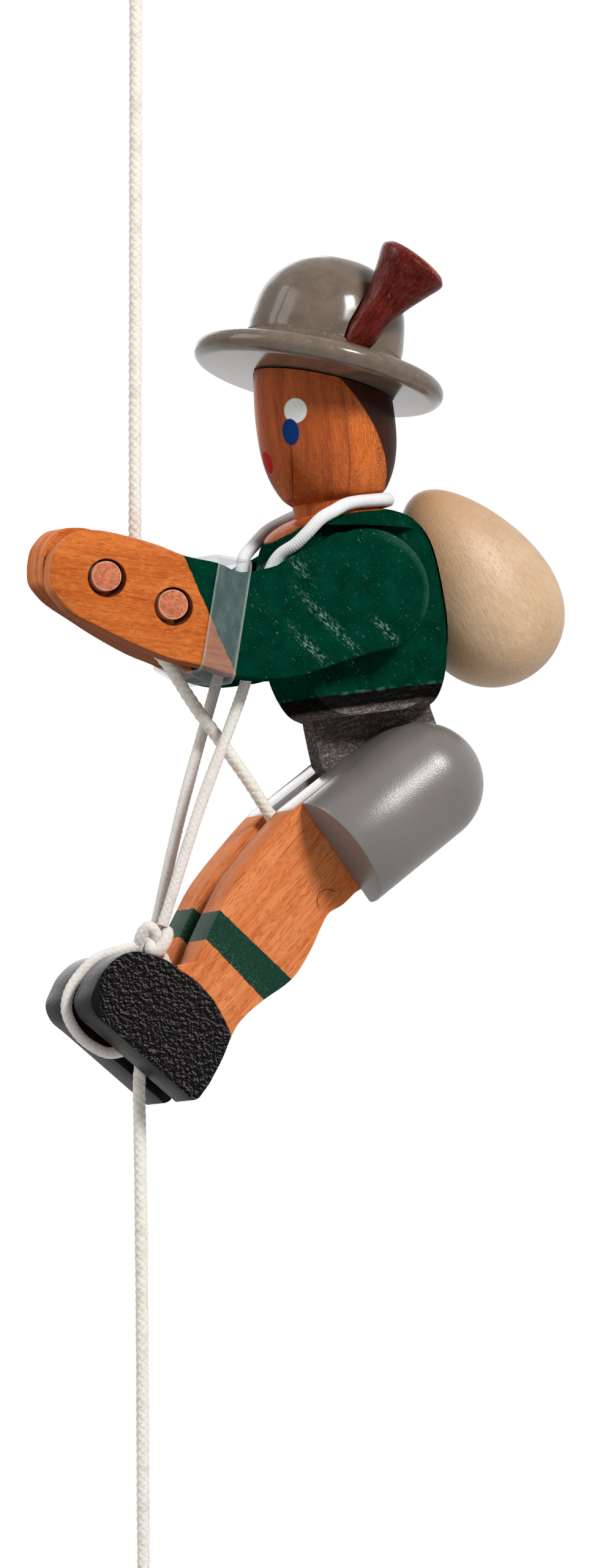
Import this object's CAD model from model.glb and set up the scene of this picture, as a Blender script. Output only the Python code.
import math

import bpy
import numpy as np
from mathutils import Matrix, Vector


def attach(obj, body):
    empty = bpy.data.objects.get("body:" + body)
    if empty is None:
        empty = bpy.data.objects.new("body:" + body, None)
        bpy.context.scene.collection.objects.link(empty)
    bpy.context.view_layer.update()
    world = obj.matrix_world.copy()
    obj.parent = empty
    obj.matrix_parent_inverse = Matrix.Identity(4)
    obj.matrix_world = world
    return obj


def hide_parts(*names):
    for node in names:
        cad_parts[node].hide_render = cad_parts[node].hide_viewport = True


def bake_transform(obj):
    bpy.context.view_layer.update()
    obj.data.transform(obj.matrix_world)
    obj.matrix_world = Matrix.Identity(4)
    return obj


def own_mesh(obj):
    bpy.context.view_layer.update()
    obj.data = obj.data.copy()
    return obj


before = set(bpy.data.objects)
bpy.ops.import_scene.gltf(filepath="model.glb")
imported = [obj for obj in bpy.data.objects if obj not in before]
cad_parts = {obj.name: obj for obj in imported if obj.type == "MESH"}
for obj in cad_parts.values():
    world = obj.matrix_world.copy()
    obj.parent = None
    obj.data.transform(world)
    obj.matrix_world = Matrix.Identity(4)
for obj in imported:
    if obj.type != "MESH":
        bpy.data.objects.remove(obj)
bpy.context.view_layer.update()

mm = 0.001
near, far = -1, 1                     # the figure's left and right side, along Y
grip = Vector((0, 0, -0.127))         # the point of the cord between the two hand dowels
shoulderAt = (35.9, 0, -0.5)          # both in mm from the grip, with the pose of the photo
hipAt = (46.6, 0, -31.2)
shoulder, hip = grip + Vector(shoulderAt) * mm, grip + Vector(hipAt) * mm
leanSet = {"body": 8.16, "bodyBack": 2.15, "arm": 10.3, "armInner": 0.2, "armTip": 52.9, "hat": 12.4}


# curves and routes

def mmPoints(*places):
    return [Vector(place) * mm for place in places]


def fromGrip(*places):
    return [grip + Vector(place) * mm for place in places]


def smoothCurve(points, perSpan):
    points = [Vector(p) for p in points]
    ends = [2 * points[0] - points[1], *points, 2 * points[-1] - points[-2]]
    curve = []
    for i in range(1, len(ends) - 2):
        a, b, c, d = ends[i - 1:i + 3]
        for step in range(perSpan):
            t = step / perSpan
            curve.append(0.5 * (2 * b + (c - a) * t + (2 * a - 5 * b + 4 * c - d) * t**2
                                + (3 * b - a - 3 * c + d) * t**3))
    return curve + [points[-1]]


def evenRoute(points, spacing, closed=False):
    perSpan = 24
    fine = smoothCurve(points + points[:3] if closed else points, perSpan)
    if closed:
        fine = fine[perSpan:-perSpan]          # drops the doubled spans, so the ends meet smoothly
    lengths = [0.0]
    for a, b in zip(fine, fine[1:]):
        lengths.append(lengths[-1] + (b - a).length)
    count = max(2, round(lengths[-1] / spacing))
    even, at = [fine[0]], 0
    for k in range(1, count):
        wanted = lengths[-1] * k / count
        while lengths[at + 1] < wanted:
            at += 1
        share = (wanted - lengths[at]) / (lengths[at + 1] - lengths[at])
        even.append(fine[at].lerp(fine[at + 1], share))
    return even if closed else even + [fine[-1]]


def arcPoints(centre, radius, start, end, steps):
    turns = [math.radians(start + (end - start) * k / steps) for k in range(steps + 1)]
    return [Vector(centre) + radius * Vector((math.cos(a), math.sin(a))) for a in turns]


def frameAt(place, along):
    z = along.normalized()
    x = Vector((0, 1, 0)).cross(z).normalized()
    return Matrix.Translation(place) @ Matrix((x, z.cross(x), z)).transposed().to_4x4()


# modelling, as by hand

def added(name, operator, **settings):
    bpy.ops.object.select_all(action="DESELECT")
    operator(**settings)
    bpy.context.object.name = name
    return bpy.context.object


def pickOnly(obj):
    if bpy.context.mode != "OBJECT":
        bpy.ops.object.mode_set(mode="OBJECT")
    bpy.ops.object.select_all(action="DESELECT")
    obj.select_set(True)
    bpy.context.view_layer.objects.active = obj


def applyModifier(obj, kind, **settings):
    pickOnly(obj)
    modifier = obj.modifiers.new(kind.lower(), kind)
    for key, value in settings.items():
        setattr(modifier, key, value)
    bpy.ops.object.modifier_apply(modifier=modifier.name)


def openMesh(obj, select="SELECT"):
    pickOnly(obj)
    bpy.ops.object.mode_set(mode="EDIT")
    bpy.ops.mesh.select_all(action=select)


def roundEdges(obj, width):
    applyModifier(obj, "BEVEL", width=width * mm, segments=2, limit_method="ANGLE",
                  angle_limit=math.radians(50))


def closeUp(obj):
    openMesh(obj)
    bpy.ops.mesh.remove_doubles(threshold=0.002 * mm)
    bpy.ops.mesh.normals_make_consistent(inside=False)
    bpy.ops.object.mode_set(mode="OBJECT")


def seat(obj, place):
    obj.data.transform(place)
    closeUp(obj)
    return obj


def softShade(obj, angle):
    pickOnly(obj)
    bpy.ops.object.shade_smooth_by_angle(angle=math.radians(angle))


def turn(name, profile, place, steps):
    # one corner is drawn along the profile and spun about the local Z axis
    obj = added(name, bpy.ops.mesh.primitive_plane_add, size=mm)
    openMesh(obj)
    bpy.ops.mesh.merge(type="CENTER")
    bpy.ops.transform.translate(value=(profile[0][0], 0, profile[0][1]))
    for a, b in zip(profile, profile[1:]):
        bpy.ops.mesh.extrude_region_move(TRANSFORM_OT_translate={"value": (b[0] - a[0], 0, b[1] - a[1])})
    bpy.ops.mesh.select_all(action="SELECT")
    bpy.ops.mesh.spin(steps=steps, angle=2 * math.pi, center=(0, 0, 0), axis=(0, 0, 1))
    bpy.ops.object.mode_set(mode="OBJECT")
    return seat(obj, place)


def saw(name, outline, place, low, high, rounding=0.0):
    # a face with the outline's corners is pushed out to a board, and its rims are rounded
    obj = added(name, bpy.ops.mesh.primitive_circle_add, vertices=len(outline), fill_type="NGON")
    for corner, point in zip(obj.data.vertices, outline):
        corner.co = (point[0], low, point[1])
    openMesh(obj)
    bpy.ops.mesh.extrude_region_move(TRANSFORM_OT_translate={"value": (0, high - low, 0)})
    bpy.ops.object.mode_set(mode="OBJECT")
    closeUp(obj)
    if rounding:
        openMesh(obj, "DESELECT")
        bpy.ops.object.mode_set(mode="OBJECT")
        for edge in obj.data.edges:
            start, end = (obj.data.vertices[index].co.y for index in edge.vertices)
            edge.select = abs(start - end) < 1e-7      # the rims, not the edges through the board
        bpy.ops.object.mode_set(mode="EDIT")
        bpy.ops.mesh.bevel(offset=rounding, segments=3, profile=0.5, affect="EDGES", clamp_overlap=True)
        bpy.ops.object.mode_set(mode="OBJECT")
    return seat(obj, place)


def fromPoints(name, points, faces):
    mesh = bpy.data.meshes.new(name)
    mesh.from_pydata([tuple(p) for p in points], [], faces)
    obj = bpy.data.objects.new(name, mesh)
    bpy.context.scene.collection.objects.link(obj)
    return obj


def rodAcross(name, place, radius, low, high):
    obj = added(name, bpy.ops.mesh.primitive_cylinder_add, vertices=64, radius=radius, depth=high - low)
    middle = Matrix.Translation((place.x, (low + high) / 2, place.z))
    return seat(obj, middle @ Matrix.Rotation(math.pi / 2, 4, "X"))


def carve(obj, tool, operation="DIFFERENCE"):
    applyModifier(obj, "BOOLEAN", operation=operation, solver="EXACT", object=tool)
    bpy.data.objects.remove(tool, do_unlink=True)


# materials

def tone(*screen):
    # a colour as it looks on a screen, 0 to 255
    return tuple(c / 12.92 if c <= 0.04045 else ((c + 0.055) / 1.055) ** 2.4
                 for c in (part / 255 for part in screen)) + (1,)


class Wire:
    # one output in a material, so that masks can be written as sums and products
    def __init__(self, finish, socket):
        self.finish, self.socket = finish, socket

    def math(self, operation, *others, clamp=False):
        settings = {"operation": operation, "use_clamp": clamp}
        return self.finish.node("ShaderNodeMath", settings, [self, *others])

    def __add__(self, other):
        return self.math("ADD", other)

    def __sub__(self, other):
        return self.math("SUBTRACT", other)

    def __rsub__(self, other):
        return self.finish.node("ShaderNodeMath", {"operation": "SUBTRACT"}, [other, self])

    def __mul__(self, other):
        return self.math("MULTIPLY", other)

    __radd__ = __add__
    __rmul__ = __mul__

    def size(self):
        return self.math("ABSOLUTE")

    def most(self, other):
        return self.math("MAXIMUM", other)

    def reach(self, other):
        return (self * self + other * other).math("SQRT")

    def clamped(self):
        return self.math("ADD", 0.0, clamp=True)

    def over(self, edge, width):
        # 0 below the edge and 1 above it, over a soft width
        return (self - edge).math("MULTIPLY_ADD", 1 / width, 0.5, clamp=True)

    def under(self, edge, width):
        return 1 - self.over(edge, width)


def anyOf(masks):
    masks = list(masks)
    found = masks[0]
    for mask in masks[1:]:
        found = found.most(mask)
    return found


class Nodes:
    def __init__(self, owner):
        owner.use_nodes = True
        self.tree = owner.node_tree

    def node(self, kind, settings, inputs, output=0):
        made = self.tree.nodes.new(kind)
        for key, value in settings.items():
            setattr(made, key, value)
        for key, value in (inputs.items() if isinstance(inputs, dict) else enumerate(inputs)):
            if isinstance(value, Wire):
                self.tree.links.new(value.socket, made.inputs[key])
            else:
                made.inputs[key].default_value = value
        return Wire(self, made.outputs[output])

    def eyeRays(self):
        # 1 for what the camera, gloss and glass see, 0 for the light that falls on things
        rays = self.node("ShaderNodeLightPath", {}, {}, "Is Camera Ray")
        others = ("Is Glossy Ray", "Is Transmission Ray")
        return anyOf([rays, *(Wire(self, rays.socket.node.outputs[name]) for name in others)])


class Finish(Nodes):
    def __init__(self, name, **sockets):
        self.material = bpy.data.materials.new(name)
        super().__init__(self.material)
        self.shader = self.tree.nodes["Principled BSDF"]
        for socket, value in sockets.items():
            self.shader.inputs[socket.replace("_", " ")].default_value = value

    def vector(self, operation, *inputs, output=0):
        return self.node("ShaderNodeVectorMath", {"operation": operation}, inputs, output)

    def inFrame(self, place=None):
        # the surface's own place, in millimetres, as seen from the frame given or from the grip
        place = place or Matrix.Translation(grip)
        coords = self.node("ShaderNodeTexCoord", {}, {}, "Object")
        return self.node("ShaderNodeMapping", {"vector_type": "TEXTURE"},
                         {"Vector": coords, "Location": place.translation, "Rotation": place.to_euler(),
                          "Scale": (mm, mm, mm)})

    def leaning(self, vector, angle):
        # turned in the side view, so that the Z axis runs along the grain
        return self.node("ShaderNodeMapping", {"vector_type": "POINT"},
                         {"Vector": vector, "Rotation": (0, math.radians(angle), 0)})

    def split(self, vector):
        made = self.node("ShaderNodeSeparateXYZ", {}, [vector])
        return [Wire(self, made.socket.node.outputs[i]) for i in range(3)]

    def noise(self, vector, scale, detail, rough, stretch=None, distortion=0.0):
        # a stretch below 1 draws the pattern out along that axis
        if stretch:
            vector = self.vector("MULTIPLY", vector, stretch)
        return self.node("ShaderNodeTexNoise", {}, {"Vector": vector, "Scale": scale, "Detail": detail,
                                                    "Roughness": rough, "Distortion": distortion})

    def mix(self, first, second, share):
        # each colour is a wire, or three numbers as they look on a screen
        first, second = (tone(*c) if isinstance(c, tuple) else c for c in (first, second))
        return self.node("ShaderNodeMix", {"data_type": "RGBA"}, {0: share, 6: first, 7: second}, 2)

    def cover(self, base, *coats):
        # coats of colour laid on one after another, each with the mask that it shows through
        for tint, share in coats:
            base = self.mix(base, tint, share)
        return base

    def dot(self, vector, middle, size, edge):
        # a painted spot: 1 inside an ellipsoid about the middle
        offset = self.vector("SUBTRACT", vector, middle)
        scaled = self.vector("MULTIPLY", offset, tuple(1 / s for s in size))
        return self.vector("LENGTH", scaled, output="Value").under(1.0, edge)

    def bump(self, height, strength, distance, under=None):
        inputs = {"Height": height, "Strength": strength, "Distance": distance * mm}
        if under:
            inputs["Normal"] = under
        return self.node("ShaderNodeBump", {}, inputs)

    def surface(self, **wires):
        for socket, wire in wires.items():
            self.tree.links.new(wire.socket, self.shader.inputs[socket.replace("_", " ")])

    def whiteForEye(self, share):
        # the eye sees white paper, but lamps and shadows still fall on it
        glow = self.node("ShaderNodeEmission", {}, {"Color": (1, 1, 1, 1), "Strength": 1.0})
        mixed = self.node("ShaderNodeMixShader", {}, [self.eyeRays() * share,
                                                      Wire(self, self.shader.outputs[0]), glow])
        self.tree.links.new(mixed.socket, self.tree.nodes["Material Output"].inputs["Surface"])

    def grain(self, vector, look):
        # turned or sawn beech: slow tone along the grain, growth rings, fine fibres and short dark pores
        # the grain runs along the vector's Z axis, and the rings lie across its X axis
        slow = self.noise(vector, look["slow"], 3, 0.6, (1, 1, 0.12))
        rings = self.noise(vector, look["rings"], 3, 0.6, (1, 0.16, 0.035), 0.4)
        fibres = self.noise(vector, look["fibres"], 3, 0.7, (1, 1, 0.07))
        pores = self.noise(vector, look["pores"], 1, 0.5, (1, 1, look["poreLength"]))
        pores = pores.over(look["poreEdge"], 0.05)
        shade = (slow * 0.6 + fibres * 0.4).over(0.5, look["contrast"])
        wood = self.cover(look["dark"], (look["light"], shade),
                          (look["streak"], rings.over(look["ringEdge"], 0.12) * look["ringShare"]),
                          (look["pore"], pores * look["poreShare"]))
        return wood, fibres, pores

    def wear(self, obj, slot=None):
        obj.data.materials.clear()
        obj.data.materials.append(self.material)
        return obj


# camera first, then the lights

cameraSet = {
    "target": Vector((0.0303, 0.0, -0.158)),
    "toCamera": Vector((-0.4055, -0.9107, -0.0785)),
    "distance": 1.5,
    "lens": 211.0,
}


def placeCamera():
    toCamera = cameraSet["toCamera"].normalized()
    camera = added("Camera", bpy.ops.object.camera_add,
                   location=cameraSet["target"] + toCamera * cameraSet["distance"])
    camera.rotation_euler = (-toCamera).to_track_quat("-Z", "Y").to_euler()
    camera.data.lens = cameraSet["lens"]
    camera.data.clip_start = 0.05
    bpy.context.scene.camera = camera


lightSet = {
    "surround": 0.19,
    "lamps": {
        # high, by the camera
        "right": {"toward": (0.2, -0.8, 0.57), "distance": 1.35, "size": 0.3, "watts": 17.0},
        "left": {"toward": (-0.8, 0.16, 0.52), "distance": 1.3, "size": 0.75, "watts": 8.0},
        "back": {"toward": (0.08, 0.92, 0.38), "distance": 1.4, "size": 0.9, "watts": 5.0},
    },
}


def placeLights():
    for name, look in lightSet["lamps"].items():
        toward = Vector(look["toward"]).normalized()
        lamp = added(name + "Lamp", bpy.ops.object.light_add, type="AREA",
                     location=cameraSet["target"] + toward * look["distance"])
        lamp.data.shape = "SQUARE"
        lamp.data.size = look["size"]
        lamp.data.energy = look["watts"]
        lamp.rotation_euler = toward.to_track_quat("Z", "Y").to_euler()
    # white to the eye, and a faint light from all round
    world = bpy.data.worlds.new("studio")
    bpy.context.scene.world = world
    sky = Nodes(world)
    strength = sky.node("ShaderNodeMapRange", {}, {"Value": sky.eyeRays(), "To Min": lightSet["surround"],
                                                   "To Max": 1.0})
    background = sky.tree.nodes["Background"]
    background.inputs["Color"].default_value = (1, 1, 1, 1)
    sky.tree.links.new(strength.socket, background.inputs["Strength"])


def layFloor():
    floor = added("studioFloor", bpy.ops.mesh.primitive_plane_add, size=6, location=(0, 0, -0.36))
    paper = Finish("paleFloor", Base_Color=(0.55, 0.55, 0.55, 1), Roughness=0.9)
    paper.whiteForEye(0.8)
    paper.wear(floor)


placeCamera()
placeLights()
layFloor()
bpy.context.scene.view_settings.view_transform = "Standard"
print("stage: camera, lights and floor")


# cords

def yarnRelief(around, along, look):
    if look["weave"] == "covered":     # threads wound closely round the rubber
        wound = np.cos(2 * np.pi * (along / look["pitch"] + 2 * around))
        return look["relief"] * wound * (0.7 + 0.3 * np.sin(2 * np.pi * (along / 3.7 + 2 * around)))
    a = around * look["yarns"] + along / look["pitch"]
    b = around * look["yarns"] - along / look["pitch"]
    acrossA, acrossB = a - np.floor(a) - 0.5, b - np.floor(b) - 0.5
    over = (np.floor(a) + np.floor(b)) % 2 == 0
    top = np.where(over, np.cos(np.pi * acrossA) * (0.7 + 0.3 * np.cos(np.pi * acrossB)),
                   np.cos(np.pi * acrossB) * (0.7 + 0.3 * np.cos(np.pi * acrossA)))
    return look["relief"] * (top - 0.6)


def makeCord(name, points, look, closed=False):
    route = np.array([tuple(p) for p in evenRoute(points, look["step"] * mm, closed)])
    count, sides = len(route), look["sides"]
    if closed:
        ahead = np.roll(route, -1, 0) - np.roll(route, 1, 0)
    else:
        ahead = np.gradient(route, axis=0)
    ahead /= np.linalg.norm(ahead, axis=1)[:, None]
    across = np.zeros_like(route)
    first = np.cross(ahead[0], (0.31, 0.87, 0.38))      # any direction that no route starts along
    across[0] = first / np.linalg.norm(first)
    for k in range(1, count):
        carried = across[k - 1] - ahead[k] * (across[k - 1] @ ahead[k])
        across[k] = carried / np.linalg.norm(carried)
    other = np.cross(ahead, across)
    along = np.concatenate([[0], np.cumsum(np.linalg.norm(np.diff(route, axis=0), axis=1))]) / mm
    around = np.arange(sides) / sides
    swell = 1 + look["uneven"] * (np.sin(along / 2.3) + np.sin(along / 5.1 + 1))[:, None]
    radius = (look["radius"] * swell + yarnRelief(around[None, :], along[:, None], look)) * mm
    angle = (2 * np.pi * around)[None, :, None]
    ring = np.cos(angle) * across[:, None, :] + np.sin(angle) * other[:, None, :]
    verts = (route[:, None, :] + ring * radius[:, :, None]).reshape(-1, 3)
    faces, turns = [], []
    for k in range(count if closed else count - 1):
        here, there = k * sides, (k + 1) % count * sides
        for s in range(sides):
            n = (s + 1) % sides
            faces.append((here + s, here + n, there + n, there + s))
            turns.append((s, k))
    if not closed:
        faces.append(tuple(range(sides - 1, -1, -1)))
        faces.append(tuple(range((count - 1) * sides, count * sides)))
    obj = fromPoints(name, verts, faces)
    uv = obj.data.uv_layers.new(name="UVMap")
    for face, (s, k) in zip(obj.data.polygons, turns):
        u, v = s / sides, along[k]
        after = along[k + 1] if k + 1 < count else along[k] + look["step"]
        corners = ((u, v), (u + 1 / sides, v), (u + 1 / sides, after), (u, after))
        for loop, corner in zip(face.loop_indices, corners):
            uv.data[loop].uv = corner
    obj.data.shade_smooth()
    return obj


def corded(name, light, dark, stain, fibre):
    finish = Finish(name, Roughness=0.85, Sheen_Weight=0.2, Specular_IOR_Level=0.2)
    along = finish.node("ShaderNodeUVMap", {"uv_map": "UVMap"}, {}, "UV")
    threads = finish.noise(along, 1.0, 3, 0.7, (fibre, 2.6, 1))
    place = finish.inFrame()
    patches = finish.noise(place, 0.5, 3, 0.6)
    fine = finish.noise(place, 6.0, 3, 0.65)
    shade = (fine.over(0.55, 0.4) * 0.55 + threads.over(0.6, 0.3) * 0.3).clamped()
    finish.surface(Base_Color=finish.cover(light, (dark, shade), (stain, patches.over(0.58, 0.2) * 0.45)),
                   Normal=finish.bump(threads * 0.6 + fine * 0.4, 0.7, 0.12))
    return finish


cordLook = {"weave": "braid", "radius": 1.0, "yarns": 4, "pitch": 1.35, "relief": 0.16, "step": 0.14,
            "sides": 32, "uneven": 0.012}
strandLook = {"weave": "braid", "radius": 0.92, "yarns": 5, "pitch": 1.0, "relief": 0.09, "step": 0.14,
              "sides": 32, "uneven": 0.02}
neckLook = {"weave": "covered", "radius": 1.06, "pitch": 0.44, "relief": 0.024, "step": 0.09,
            "sides": 28, "uneven": 0.014}
cordWhite = corded("braidedCord", (246, 241, 231), (202, 193, 181), (205, 195, 182), 9)
strandWhite = corded("braidedElastic", (238, 233, 227), (198, 190, 183), (210, 196, 184), 12)
neckWhite = corded("coveredElastic", (238, 238, 238), (205, 206, 208), (226, 225, 223), 30)


def braid(name, route, closed=False, **changes):
    return cordWhite.wear(makeCord(name, route, dict(cordLook, **changes), closed), "braided_cord")


def elastic(name, route, look=strandLook, closed=False):
    white = neckWhite if look["weave"] == "covered" else strandWhite
    return white.wear(makeCord(name, route, look, closed), "white_elastic")


def makeMainCord():
    upperRoute = [Vector((0, 0, z)) for z in (-0.0263, -0.0733, -0.1202)]
    upper = braid("cordAbove", upperRoute)
    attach(upper, "cord")
    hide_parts("cord_upper")
    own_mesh(upper)

    handsRoute = fromGrip((0, 0, 6.5), (-0.6, 0, 3.0), (-1.5, 0, -1.0), (-1.3, 0, -4.8), (2.1, 0, -8.6),
                          (5.8, 0, -12.3), (10.2, 0, -18.4), (14.6, 0, -23.85))
    hands = braid("cordThroughHands", handsRoute)
    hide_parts("cord_through_hands")
    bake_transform(hands)

    legsRoute = fromGrip((14.6, 0, -23.85), (19.5, 0, -30.0), (24.2, 0, -36.5), (28.0, 0, -41.0),
                         (29.0, 0, -45.2), (26.2, -1.0, -48.8), (19.4, -1.2, -55.6), (12.0, -1.2, -63.4),
                         (6.0, -1.2, -69.2), (2.4, -1.2, -72.8))
    legs = braid("cordThroughLegs", legsRoute)
    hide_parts("cord_through_legs")
    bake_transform(legs)

    lowerRoute = fromGrip((2.2, -1.2, -73.2), (0.8, -1.1, -77.0), (0.7, -0.4, -81.0), (1.0, 0, -88.0),
                          (1.4, 0, -115.0), (1.8, 0, -163.7))
    lower = braid("cordBelow", lowerRoute)
    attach(lower, "cord")
    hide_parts("cord_lower")
    slackRoute = evenRoute(lowerRoute, 4 * mm)[:21]    # hidden in the lower cord until the figure climbs
    slack = braid("cordPaidOut", slackRoute, radius=0.82, relief=0.1)
    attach(slack, "arms")

    loopRoute = loopPoints()
    loop = braid("hangingLoop", loopRoute)
    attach(loop, "cord")
    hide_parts("hanging_loop")
    return {"upper": (upper, upperRoute), "hands": (hands, handsRoute), "legs": (legs, legsRoute),
            "lower": (lower, lowerRoute), "slack": (slack, slackRoute), "loop": (loop, loopRoute)}


loopSet = {"radius": 0.0055, "middle": 0.001 - 0.0055, "foot": (0.0015, 0, -0.0197), "waist": 0.62}


def loopPoints():
    radius, middle, foot = loopSet["radius"], Vector((0, 0, loopSet["middle"])), Vector(loopSet["foot"])
    waist = Vector((radius * loopSet["waist"], 0, (foot.z + middle.z) / 2))
    points = [Vector((-foot.x, 0, foot.z)), Vector((-waist.x, 0, waist.z))]
    for angle in (190, 150, 120, 90, 60, 30, -10):
        a = math.radians(angle)
        points.append(middle + radius * Vector((math.cos(a), 0, math.sin(a))))
    return points + [waist, foot]


def knotPoints(place, size, along=Vector((0, 0, 1)), spin=0.0):
    # a tight overhand knot: the cord's own thickness fills the lump
    points = []
    for k in range(18):
        t = 2 * math.pi * k / 18
        points.append(Vector((math.sin(t) + 2 * math.sin(2 * t), math.cos(t) - 2 * math.cos(2 * t),
                              -math.sin(3 * t))))
    scale = Matrix.Diagonal((size[0] * mm / 6, size[1] * mm / 6, size[2] * mm / 2)).to_4x4()
    return [frameAt(place, along) @ Matrix.Rotation(spin, 4, "Z") @ scale @ p for p in points]


cords = makeMainCord()
print("stage: the cord")

knotSet = {"size": (3.6, 3.6, 3.4), "radius": 0.98, "loop": -0.023, "beadTop": -0.291, "underBead": 15.3}
loopPlace = Vector((0, 0, knotSet["loop"]))
loopKnot = braid("loopKnot", knotPoints(loopPlace, knotSet["size"]), True, radius=knotSet["radius"])
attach(loopKnot, "cord")
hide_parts("loop_knot")

beadTop = Vector((1.8 * mm, 0, knotSet["beadTop"]))
stopperPlace = beadTop - Vector((0, 0, knotSet["underBead"] * mm))
stopperKnot = braid("stopperKnot", knotPoints(stopperPlace, knotSet["size"]), True,
                    radius=knotSet["radius"])
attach(stopperKnot, "cord")
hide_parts("stopper_knot")


def routeLength(points):
    fine = smoothCurve(points, 24)
    return sum((b - a).length for a, b in zip(fine, fine[1:]))


def declareCord(key):
    piece, route = cords[key]
    path = [tuple(p) for p in smoothCurve(route, 8)]
    routeLength(route)


declareCord("upper")
declareCord("loop")
declareCord("hands")
declareCord("legs")


# the elastic

def bodyFrame():
    tilt, back = math.radians(leanSet["body"]), leanSet["bodyBack"] * mm
    return frameAt(shoulder + Vector((back, 0, 0)), Vector((-math.sin(tilt), 0, math.cos(tilt))))


elasticSet = {"neckRadius": 8.5, "neckHeight": 15.4, "chest": (20.9, 5.48, -0.6),
              "nearBelow": (17.4, -4.85, -15.4), "farBelow": (16.2, 4.63, -15.4),
              "knot": (3.4, 0, -57.4), "knotSize": (4.5, 4.5, 3.8), "knotRadius": 1.1}


def neckHalf(side):
    radius, points = elasticSet["neckRadius"], []
    for angle in (0, 24, 48, 72, 90):
        a = math.radians(side * angle)
        ring = Vector((radius * math.cos(a), radius * math.sin(a), elasticSet["neckHeight"]))
        points.append(bodyFrame() @ (ring * mm))
    over = [(33.0, 9.9, 14.0), (30.6, 10.9, 12.8), (28.2, 10.9, 11.4)]
    if side == near:
        over += [(26.2, 10.0, 9.1), (24.6, 8.7, 7.2), (22.8, 6.7, 5.6), (21.6, 5.7, 3.2)]
    else:
        over += [(25.6, 9.9, 9.1), (22.4, 6.9, 6.5), (21.3, 5.6, 3.5)]
    return points + fromGrip(*((x, side * y, z) for x, y, z in over + [elasticSet["chest"]]))


def makeElastic():
    nearHalf, farHalf = neckHalf(near), neckHalf(far)
    neck = elastic("neckElastic", list(reversed(nearHalf)) + farHalf[1:], neckLook)
    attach(neck, "torso")
    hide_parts("neck_elastic")
    knotMiddle = fromGrip(elasticSet["knot"])[0]
    for side, name in ((near, "left"), (far, "right")):
        x, y, z = elasticSet["chest"]
        start, below = fromGrip((x, side * y, z), elasticSet["nearBelow" if side == near else "farBelow"])
        end = knotMiddle + Vector((0.9, side * 1.4, 2.4)) * mm
        middle = below.lerp(end, 0.5) - Vector((0.5 * mm, 0, 0))
        strand = elastic("strand" + name.capitalize(), [start, below, middle, end])
        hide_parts("elastic_strand_" + name)
        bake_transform(strand)
    lump = knotPoints(knotMiddle, elasticSet["knotSize"], Vector((0.2, 0, 1)), 0.5)
    knot = elastic("elasticKnot", lump, dict(strandLook, radius=elasticSet["knotRadius"]), True)
    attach(knot, "legs")
    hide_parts("elastic_knot")
    toeRoute = fromGrip((1.4, 0.5, -58.2), (-3.3, 1.0, -59.4), (-6.7, 1.0, -60.8), (-9.3, 1.0, -63.3),
                        (-11.0, 1.0, -66.0), (-11.4, 1.0, -69.0), (-10.0, 1.0, -71.9), (-7.5, 1.0, -74.2),
                        (-3.9, 1.0, -75.6), (-0.4, 1.0, -74.4), (1.8, 1.0, -70.6), (4.2, 1.0, -66.0),
                        (6.2, 1.0, -62.2), (4.6, 0.6, -58.6))
    toes = elastic("toeLoop", toeRoute)
    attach(toes, "legs")
    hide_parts("elastic_toe_loop")


makeElastic()
print("stage: the elastic")


# the turned body

bodySet = {
    "profile": [(10.4, -19.1), (11.9, -18.1), (13.0, -16.6), (13.9, -14.6), (14.7, -11.5), (15.3, -5.0),
                (15.1, 2.0), (14.5, 6.7), (13.5, 9.7), (12.0, 12.0), (9.6, 13.4), (7.2, 14.2),
                (7.2, 16.2), (8.6, 17.5), (9.9, 19.9), (10.75, 22.5), (11.25, 25.5), (11.4, 29.3),
                (11.25, 33.5), (10.5, 41.5)],
    "corners": (0, 3, 11, 12),      # profile points where the smooth line breaks
    "tongue": 2.0,                  # half its thickness
    "tongueRound": 9.0,
    "flatGap": 0.9,
    "flatTop": 11.05,
    "wood": {"slow": 0.3, "rings": 1.1, "fibres": 3.2, "pores": 4.4, "poreEdge": 0.68, "poreLength": 0.16,
             "dark": (158, 74, 34), "light": (212, 110, 48), "contrast": 0.25, "streak": (112, 46, 24),
             "ringEdge": 0.6, "ringShare": 0.5, "pore": (96, 42, 22), "poreShare": 0.35},
    # the face's spots of thick paint: middle and half sizes in the body's frame
    "white": ((-8.6, 7.5, 31.3), (2.05, 2.05, 2.05)),
    "blue": ((-9.4, 6.4, 28.0), (1.6, 1.6, 2.15)),
    "red": ((-11.1, 0.9, 23.8), (1.9, 2.0, 1.85)),
    "spotEdge": 0.07,
    "nape": 15.6,                   # where the brown hair ends
    "collar": 14.05,
    "hem": -15.2,
    "step": -18.0,                  # from the hips to the tongue
}


def brokenCurve(points, corners, perSpan):
    # smooth between the corners, sharp at them
    points = [Vector(p) for p in points]
    marks = sorted({0, len(points) - 1, *corners})
    curve = []
    for a, b in zip(marks, marks[1:]):
        piece = points[a:b + 1]
        curve += (smoothCurve(piece, perSpan) if len(piece) > 2 else piece)[:-1]
    return curve + [points[-1]]


def armLean(side):
    # the way back and the way out along a board, and how far off the middle its shoulder is
    lean = math.radians(leanSet["arm"])
    back = Vector((math.cos(lean), side * math.sin(lean), 0))
    out = Vector((-math.sin(lean), side * math.cos(lean), 0))
    return back, out, leanSet["armInner"] * mm + leanSet["armTip"] * mm * math.sin(lean)


def armFrame(side):
    back, out, inner = armLean(side)
    place = Matrix.Translation(shoulder + Vector((0, side * inner, 0)))
    return place @ Matrix((back, out, Vector((0, 0, 1)))).transposed().to_4x4()


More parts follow.
